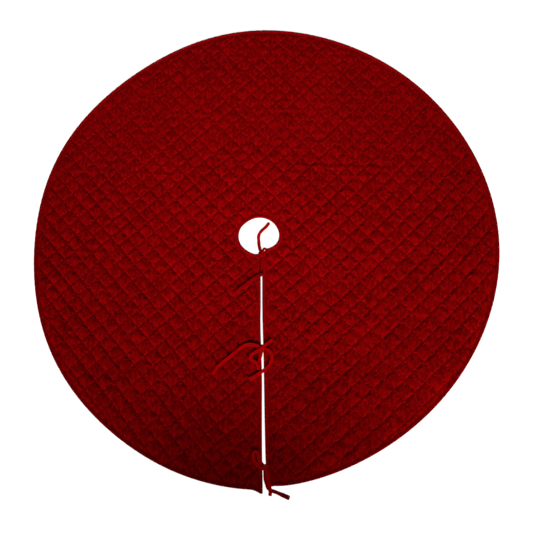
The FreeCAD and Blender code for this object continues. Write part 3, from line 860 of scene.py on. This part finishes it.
def pressed(x, y, z):
    """Heights of the cloth, held down where the ties lie on it or swing over it."""
    near = (np.abs(x) < 0.17) & (y < 0) & (y > -0.66)
    own_x, own_y, own_z = x[near], y[near], z[near]
    knee = 7.8 * MM
    rounded = knee + 0.8 * MM * np.tanh((own_z - knee) / (0.8 * MM))
    own_z = np.where(swept(own_x, own_y) & (own_z > knee), rounded, own_z)
    for path in tie_paths.values():
        for point in path[path[:, 2] > 8 * MM]:
            under = min(max(point[2] - 1.7 * MM, 7.9 * MM), 8.6 * MM)
            gap = np.hypot(own_x - point[0], own_y - point[1])
            own_z = np.minimum(own_z, under + 0.5 * np.maximum(gap - 4.5 * MM, 0))
    z = z.copy()
    z[near] = own_z
    return z


def lattice_grid(ticks):
    """Lattice numbers of a grid over the whole skirt, given a cell's mesh lines."""
    places = np.concatenate([number + ticks[:-1] for number in range(-REACH, REACH)])
    places = np.append(places, REACH)
    return np.meshgrid(places, places, indexing="ij")


def puffed(edge):
    """How full the quilting is, from its inset: pressed flat beside a binding."""
    return 0.12 + 0.88 * smooth((edge - 7 * MM) / (17 * MM))


def pick_cells(x, y, steps, panel):
    """Which mesh quads lie in a panel, decided cell by cell so that its border follows seams."""
    cells = 2 * REACH
    middle = steps // 2
    cx = x[middle::steps, middle::steps][:cells, :cells]
    cy = y[middle::steps, middle::steps][:cells, :cells]
    chosen = panel(cx, cy)
    return np.repeat(np.repeat(chosen, steps, 0), steps, 1)


# Which lattice cells belong to each panel, by the place of their middle.
PANELS = {
    "front_left": lambda x, y: y < 0,
    "front_right": lambda x, y: y < 0,
    "back_left": lambda x, y: (y >= 0) & (x < 40 * MM),
    "back_right": lambda x, y: (y >= 0) & (x >= 40 * MM),
    "back": lambda x, y: y >= 0,
}


def panel_quads(x, y, steps, panel, least):
    """The quads of one panel that lie at least some way in from every edge."""
    mid_x = (x[:-1, :-1] + x[1:, 1:]) / 2
    mid_y = (y[:-1, :-1] + y[1:, 1:]) / 2
    keep = (inset(mid_x, mid_y) > least) & pick_cells(x, y, steps, PANELS[panel])
    slit = (slit_left(mid_y) + slit_right(mid_y)) / 2
    if panel == "front_left":
        keep &= mid_x < slit
    if panel == "front_right":
        keep &= mid_x > slit
    return grid_quads(len(x))[keep]


def used_only(points, quads):
    """Drops the points that no quad uses."""
    used = np.unique(quads)
    renumber = np.full(len(points), -1)
    renumber[used] = np.arange(len(used))
    return points[used], renumber[quads], used


def border_edges(quads):
    """The edges that only one quad uses, in that quad's direction."""
    edges = np.concatenate([quads[:, [k, (k + 1) % 4]] for k in range(4)])
    ends = np.sort(edges, axis=1)
    _, first, uses = np.unique(ends, axis=0, return_index=True, return_counts=True)
    return edges[first[uses == 1]]


def snap_edge(points, quads, least):
    """Moves the ragged border's points onto the line at a set inset, if they are near it."""
    border = np.unique(border_edges(quads))
    x, y = points[border, 0], points[border, 1]
    near = inset(x, y) < least + 3.0 * MM
    border, x, y = border[near], x[near], y[near]
    for _ in range(3):
        here = inset(x, y)
        small = 0.1 * MM
        slope_x = (inset(x + small, y) - here) / small
        slope_y = (inset(x, y + small) - here) / small
        steep = np.maximum(slope_x**2 + slope_y**2, 0.2)
        x = x - (here - least) * slope_x / steep
        y = y - (here - least) * slope_y / steep
    points[border, 0] = x
    points[border, 1] = y
    return points


def panel_mesh(points, x, y, steps, panel, least):
    """One panel's points and quads with a clean border, and which grid points those are."""
    own, quads, used = used_only(points, panel_quads(x, y, steps, panel, least))
    return snap_edge(own, quads, least - 1 * MM), quads, used


def make_face():
    """The quilted velvet face, in four panels that meet along seams."""
    ticks = cell_ticks()
    rising, falling = lattice_grid(ticks)
    x, y = lattice_place(rising, falling)
    shift = relief_grid()
    edge = inset(x, y)
    full = puffed(edge) * (1 - 0.3 * smooth(y / 0.35))
    (ca, sa), (cb, sb) = ACROSS_RISING, ACROSS_FALLING
    moved_x = x + (shift[..., 0] * ca + shift[..., 1] * cb) * full
    moved_y = y + (shift[..., 0] * sa + shift[..., 1] * sb) * full
    z = lift(x, y) + SEAM_HEIGHT + shift[..., 2] * full + creases(x, y)
    z = pressed(moved_x, moved_y, z)
    points = np.stack([moved_x, moved_y, z], -1).reshape(-1, 3)
    cells = np.stack([rising, falling, full], -1).reshape(-1, 3)
    for panel in ("front_left", "front_right", "back_left", "back_right"):
        own, quads, used = panel_mesh(points, x, y, CELL_STEPS, panel, 4 * MM)
        face = add_mesh(f"{panel}_face", own, [quads], FACE_VELVET)
        layer = face.data.attributes.new("cells", "FLOAT_VECTOR", "POINT")
        layer.data.foreach_set("vector", cells[used].astype(np.float32).ravel())
        nodes = {"back_left": ["back_face"], "back_right": []}.get(panel, [f"{panel}_face"])
        place(face, "both", "velvet_face", *nodes)
        print(face.name, len(quads), "quads")


make_face()


# ---- backing and batting
def plain_relief(rising, falling):
    """A cushion's height from 0 at a seam to 1 at a cell's middle."""
    a = 1 - np.abs(2 * (rising % 1) - 1) ** 2.2
    b = 1 - np.abs(2 * (falling % 1) - 1) ** 2.2
    return (a * b) ** 0.7


def make_backing():
    """The cotton backing: flat on the floor between seams, drawn up a little along them."""
    steps = 8
    rising, falling = lattice_grid(np.arange(steps + 1) / steps)
    x, y = lattice_place(rising, falling)
    cushion = plain_relief(rising, falling)
    z = lift(x, y) + (1.0 - 0.9 * cushion) * MM
    points = np.stack([x, y, z], -1).reshape(-1, 3)
    for panel in ("front_left", "front_right", "back"):
        own, quads, _ = panel_mesh(points, x, y, steps, panel, 4 * MM)
        name = f"{panel}_backing"
        backing = add_mesh(name, own, [quads[:, ::-1]], BACKING_COTTON)
        place(backing, "both", "backing", name)


def make_batting():
    """The soft fill, thick between the seams and pressed thin along them."""
    steps = 6
    rising, falling = lattice_grid(np.arange(steps + 1) / steps)
    x, y = lattice_place(rising, falling)
    cushion = plain_relief(rising, falling) * puffed(inset(x, y))
    base = lift(x, y)
    top = np.stack([x, y, base + (3.2 + 2.8 * cushion) * MM], -1).reshape(-1, 3)
    low = np.stack([x, y, base + (2.2 - 0.9 * cushion) * MM], -1).reshape(-1, 3)
    for panel in ("front_left", "front_right", "back"):
        upper, quads, used = panel_mesh(top, x, y, steps, panel, 6 * MM)
        lower = upper.copy()
        lower[:, 2] = low[used, 2]
        count = len(upper)
        border = border_edges(quads)
        walls = np.column_stack([border[:, ::-1], border + count])
        every = np.concatenate([quads, quads[:, ::-1] + count, walls])
        name = f"{panel}_batting"
        batting = add_mesh(name, np.concatenate([upper, lower]), [every], WADDING)
        place(batting, "both", "batting", name)


make_backing()
make_batting()


# ---- bindings
STITCH = 3.1 * MM
STITCH_INSET = 6.8 * MM

# Section of the folded tape: inset from the edge and height over the floor, in millimetres.
TAPE_SECTION = [
    (8.7, 5.3), (8.3, 5.75), (7.6, 5.85), (6.8, 5.45), (6.0, 6.05), (4.6, 6.75), (3.0, 6.9),
    (1.5, 6.35), (0.4, 5.1), (0.0, 3.5), (0.3, 1.8), (1.4, 0.55), (3.2, 0.1), (6.8, 0.1),
    (8.6, 0.35), (8.5, 0.9), (3.0, 1.5), (1.6, 3.4), (3.0, 4.6), (8.0, 4.8),
]


def wavy(length, seed, size, waves):
    """A smooth random wave along a length: size in metres, waves per metre."""
    draw = np.random.default_rng(seed)
    total = np.zeros_like(length)
    for _ in range(6):
        total += np.sin(length * waves * 6.28 * draw.uniform(0.5, 1.6) + draw.uniform(0, 6.28))
    return total * size / 2.5


def binding(name, line_at, body, nodes, seed, raised=0.0):
    """A folded tape along an edge; line_at gives the line of points at an inset from it."""
    edge = line_at(0.0)
    length = run_length(edge)
    width = 1 + wavy(length, seed, 0.05, 18)
    ripple = 0.5 - 0.5 * np.cos(2 * math.pi * length / STITCH)
    swell = wavy(length, seed + 1, 0.22 * MM, 45) + wavy(length, seed + 2, 0.16 * MM, 110)
    rows = []
    for back, height in TAPE_SECTION:
        place_in = back * MM * (width if back > 4 else 1.0)
        xy = line_at(place_in + 0 * length)
        top = height > 4.9 and back < 8.5
        near_stitch = bump((back * MM) - STITCH_INSET, 1.3 * MM) if top else 0.0
        z = height * MM + (raised if height > 4 else 0.0)
        z = z + (swell if top else 0.0) + 0.38 * MM * ripple * near_stitch
        rows.append(np.column_stack([xy, z + lift(xy[:, 0], xy[:, 1])]))
    points = np.array(rows).transpose(1, 0, 2)
    quads = ring_quads(np.arange(points.size // 3).reshape(points.shape[:2]))
    signed = np.cross(np.append(edge[1] - edge[0], 0), np.append(xy[0] - edge[0], 0))[2]
    if signed > 0:
        quads = quads[:, ::-1]
    tape = add_mesh(name, points.reshape(-1, 3), [quads], BINDING_VELVET)
    place(tape, body, "velvet_binding", *nodes)


def normals_of(edge, inside):
    """Unit directions at right angles to an edge, on the side of a point inside the cloth."""
    along = np.gradient(edge, axis=0)
    along /= np.linalg.norm(along, axis=1)[:, None]
    across = np.column_stack([-along[:, 1], along[:, 0]])
    flip = np.sign(np.sum((inside - edge) * across, axis=1))
    return across * flip[:, None]


def ring_line(start, end, radius_at, count, inner):
    """A line round the hole's centre, given as the function that offsets it into the cloth."""
    angles = np.linspace(start, end - 2 * math.pi, count)
    radius = radius_at(angles)
    edge = np.column_stack([radius * np.cos(angles), radius * np.sin(angles)])
    inward = normals_of(edge, edge * inner)
    return lambda inset_by: edge + inward * np.reshape(inset_by, (-1, 1))


# The rim and the hole's edge, each from the slit's left side round the back to its right side.
RIM_LINE = ring_line(
    math.atan2(-RIM, SLIT_LEFT - BINDING_WIDTH),
    math.atan2(-RIM, slit_right(np.array(-RIM)) + BINDING_WIDTH), rim_radius, 2500, 0.9)
HOLE_LINE = ring_line(
    math.atan2(-HOLE, SLIT_LEFT - BINDING_WIDTH),
    math.atan2(-0.041, SLIT_RIGHT + BINDING_WIDTH), hole_radius, 260, 1.1)


def slit_line(side, edge_at):
    """One slit edge's line from the hole to the rim, as a function of the inset."""
    share = np.linspace(0, 1, 380)

    def line_at(inward):
        inward = inward + 0 * share
        x_top = edge_at(np.array(-HOLE)) + side * inward
        first = -0.045 + 0 * x_top
        for _ in range(4):
            first = -np.sqrt(hole_radius(np.arctan2(first, x_top)) ** 2 - x_top**2)
        y = first + (-RIM - first) * share
        for _ in range(3):
            x = edge_at(y) + side * inward
            last = -np.sqrt(rim_radius(np.arctan2(np.full_like(x, -RIM), x)) ** 2 - x**2)
            y = first + (last - first) * share
        return np.column_stack([edge_at(y) + side * inward, y])

    return line_at


def make_bindings():
    """The rim's, the hole's and the slit's bindings."""
    for name, line_at, seed in (("rim_binding", RIM_LINE, 5), ("hole_binding", HOLE_LINE, 15)):
        nodes = [f"{panel}_{name}" for panel in ("front_left", "front_right", "back")]
        binding(name, line_at, "both", nodes, seed)
    for name, side, edge_at in (("left", -1, slit_left), ("right", 1, slit_right)):
        name = f"slit_binding_{name}"
        binding(name, slit_line(side, edge_at), FRONT, [name], 25 + side, raised=0.35 * MM)


make_bindings()


# ---- stitches
def add_stitches(name, starts, ends, radius, body, flat=0.8):
    """Stitches as one object: small tapered beads from the start points to the end points."""
    along = ends - starts
    length = np.linalg.norm(along, axis=1)[:, None]
    along = along / length
    across = np.cross(along, (0.0, 0.0, 1.0))
    across /= np.linalg.norm(across, axis=1)[:, None]
    upward = np.cross(across, along)
    points = [starts - upward * radius * 0.5]
    for share in (0.24, 0.76):
        centre = starts + along * length * share
        for side, rise in ((1, 0), (0, 1), (-1, 0), (0, -1)):
            points.append(centre + across * side * radius + upward * rise * radius * flat)
    points.append(ends - upward * radius * 0.5)
    block = np.array(points).transpose(1, 0, 2)
    pattern = []
    for k in range(4):
        after = (k + 1) % 4
        pattern += [(0, 1 + after, 1 + k), (1 + k, 1 + after, 5 + after),
                    (1 + k, 5 + after, 5 + k), (9, 5 + k, 5 + after)]
    count, per_stitch = block.shape[:2]
    faces = (np.arange(count) * per_stitch)[:, None, None] + np.array(pattern)
    thing = add_mesh(name, block.reshape(-1, 3), [faces.reshape(-1, 3)], THREAD)
    place(thing, body, "thread", name)


def seam_stitches(family, front):
    """Start and end points of one family's stitches, over and under the quilt."""
    starts, ends = [], []
    fine = 0.002
    for line in range(-REACH, REACH + 1):
        along = np.arange(-REACH, REACH, fine)
        constant = np.full_like(along, float(line))
        lattice = (constant, along) if family == "rising" else (along, constant)
        x, y = lattice_place(*lattice)
        if not (inset(x, y) > 9 * MM).any():
            continue
        length = run_length(np.column_stack([x, y]))
        marks = np.arange(0, length[-1], STITCH)
        for offset, gathered in ((0.1, starts), (0.9, ends)):
            at = marks + offset * STITCH
            gathered.append(np.column_stack([np.interp(at, length, x), np.interp(at, length, y)]))
    starts, ends = np.concatenate(starts), np.concatenate(ends)
    middle = (starts + ends) / 2
    ok = inset(middle[:, 0], middle[:, 1]) > 9 * MM
    ok &= (middle[:, 1] < 0) == front
    starts, ends = starts[ok], ends[ok]
    both = []
    for points in (starts, ends):
        ground = lift(points[:, 0], points[:, 1])
        over = np.column_stack([points, ground + SEAM_HEIGHT + 0.05 * MM])
        under = np.column_stack([points, ground + 0.75 * MM])
        both.append(np.concatenate([over, under]))
    return both


def make_quilting():
    """The quilting thread, seen on the face and on the backing."""
    for family in ("rising", "falling"):
        for half, front in (("front", True), ("back", False)):
            starts, ends = seam_stitches(family, front)
            name = f"{half}_{family}_quilting_thread"
            add_stitches(name, starts, ends, 0.32 * MM, "both")
            print(name, len(starts), "stitches")


def stitches_along(line, height):
    """Stitches along a line on a binding."""
    length = run_length(line)
    marks = np.arange(0.5 * STITCH, length[-1] - STITCH, STITCH)
    ends = []
    for offset in (0.12, 0.88):
        at = marks + offset * STITCH
        xy = np.column_stack([np.interp(at, length, line[:, 0]), np.interp(at, length, line[:, 1])])
        ends.append(np.column_stack([xy, lift(xy[:, 0], xy[:, 1]) + height]))
    return ends


def make_topstitch():
    """The line of stitches that closes each binding."""
    lines = [(RIM_LINE(STITCH_INSET), 5.55 * MM), (HOLE_LINE(STITCH_INSET), 5.55 * MM)]
    for side, edge_at in ((-1, slit_left), (1, slit_right)):
        y = np.linspace(-HOLE - 2 * MM, -RIM + 6 * MM, 400)
        lines.append((np.column_stack([edge_at(y) + side * STITCH_INSET, y]), 5.9 * MM))
    starts, ends = zip(*[stitches_along(line, height) for line, height in lines])
    starts, ends = np.concatenate(starts), np.concatenate(ends)
    for half, front in (("front", True), ("back", False)):
        own = (starts[:, 1] < 0) == front
        name = f"{half}_binding_topstitch"
        add_stitches(name, starts[own], ends[own], 0.36 * MM, "both")


def make_bar_tacks():
    """Six bar tacks: short dense zigzags across the ties' sewn ends."""
    starts, ends = [], []
    for knot in ("hole", "middle", "bottom"):
        for hand in ("left", "right"):
            low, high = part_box(f"{knot}_tie_{hand}_end")
            x = (low.x + 1.7 * MM) if hand == "left" else (high.x - 1.7 * MM)
            middle_y = (low.y + high.y) / 2
            for row in np.linspace(-2.4, 2.4, 9):
                y = middle_y + row * MM
                starts.append((x - 0.7 * MM, y - 0.15 * MM, high.z + 0.35 * MM))
                ends.append((x + 0.7 * MM, y + 0.15 * MM, high.z + 0.35 * MM))
    add_stitches("tie_bar_tacks", np.array(starts), np.array(ends), 0.26 * MM, FRONT)


make_quilting()
make_topstitch()
make_bar_tacks()


# ---- stage and light
def make_stage():
    """A plain white floor."""
    n = Nodes("white_floor")
    white = n.surface({
        "Base Color": (0.25, 0.25, 0.25, 1),
        "Roughness": 0.9,
        "Emission Color": (1, 1, 1, 1),
        "Emission Strength": 1.0,
    })
    half = 4.0
    corners = [(x * half, y * half, -0.2 * MM) for x, y in ((-1, -1), (1, -1), (1, 1), (-1, 1))]
    add_mesh("floor", corners, [np.array([(0, 1, 2, 3)])], white)


def soft_lamp(name, place_at, target, power, cone, size):
    """A large round lamp aimed at a point, whose light fades towards the edge of its cone."""
    data = bpy.data.lights.new(name, "SPOT")
    data.energy = power
    data.spot_size = math.radians(cone)
    data.spot_blend = 1.0
    data.shadow_soft_size = size
    lamp = bpy.data.objects.new(name, data)
    lamp.location = place_at
    lamp.rotation_euler = (Vector(target) - Vector(place_at)).to_track_quat("-Z", "Y").to_euler()
    scene.collection.objects.link(lamp)


def make_lights():
    """Soft studio light: a lamp at the front on either side and a dim surround."""
    soft_lamp("left_lamp", (-1.3, -2.4, 1.6), (-0.2, 0.6, 0), 315, 34, 0.12)
    soft_lamp("right_lamp", (1.3, -2.4, 1.6), (0.28, 0.5, 0), 390, 38, 0.12)
    world = bpy.data.worlds.new("surround")
    world.use_nodes = True
    surround = world.node_tree.nodes["Background"]
    surround.inputs["Color"].default_value = (1, 1, 1, 1)
    surround.inputs["Strength"].default_value = 0.06
    scene.world = world
    scene.view_settings.view_transform = "Standard"


make_stage()
make_lights()
